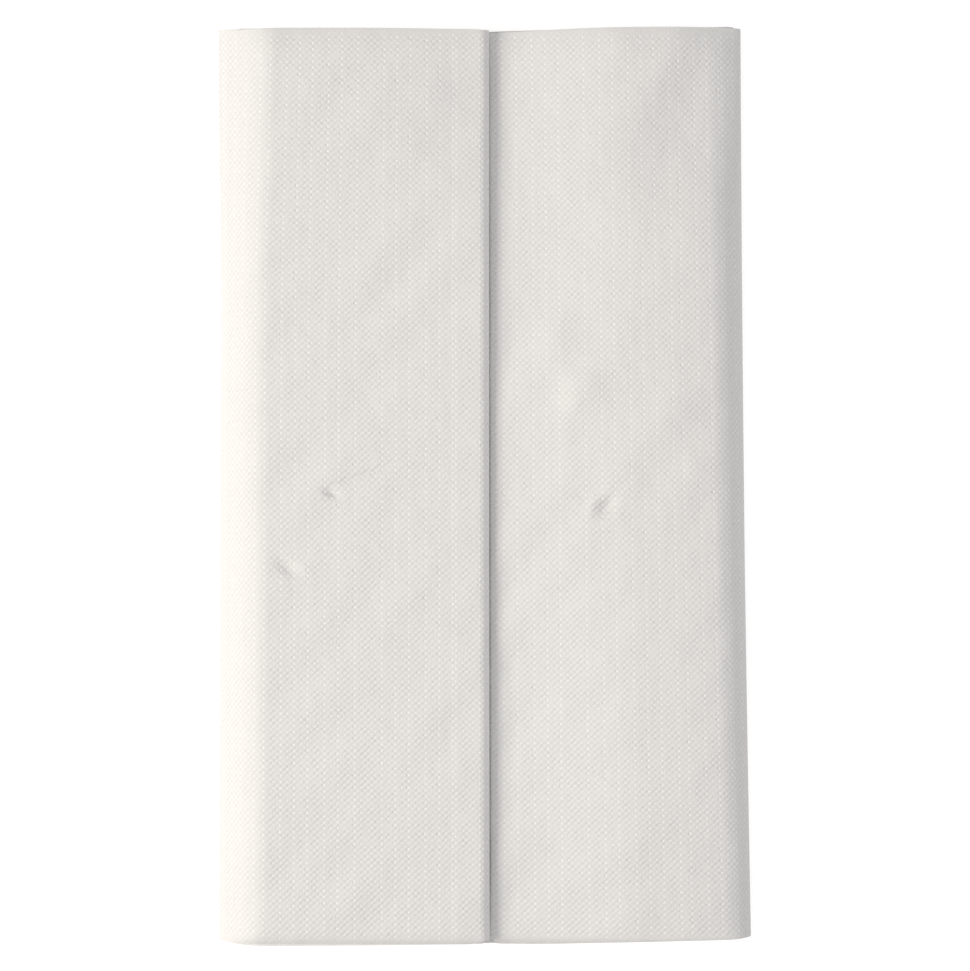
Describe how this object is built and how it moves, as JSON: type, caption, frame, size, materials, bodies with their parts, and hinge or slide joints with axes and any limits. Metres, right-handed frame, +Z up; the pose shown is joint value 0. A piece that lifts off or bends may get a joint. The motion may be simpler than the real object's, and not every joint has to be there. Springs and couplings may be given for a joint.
{
  "type": "paper tablecloth",
  "caption": "Embossed paper tablecloth folded flat into an oblong bundle with rounded sides and a slit down the middle, to be unfolded over a table.",
  "frame": {"origin": "middle of the bundle's underside, on the surface that it lies on", "axes": "+X across the bundle, +Y along it and along the slit, +Z up through its thickness, out of the side with the slit"},
  "size_m": [0.18, 0.314, 0.018],
  "materials": {
    "paper": "matte"
  },
  "bodies": {
    "root": {"tablecloth": "paper"}
  },
  "joints": []
}
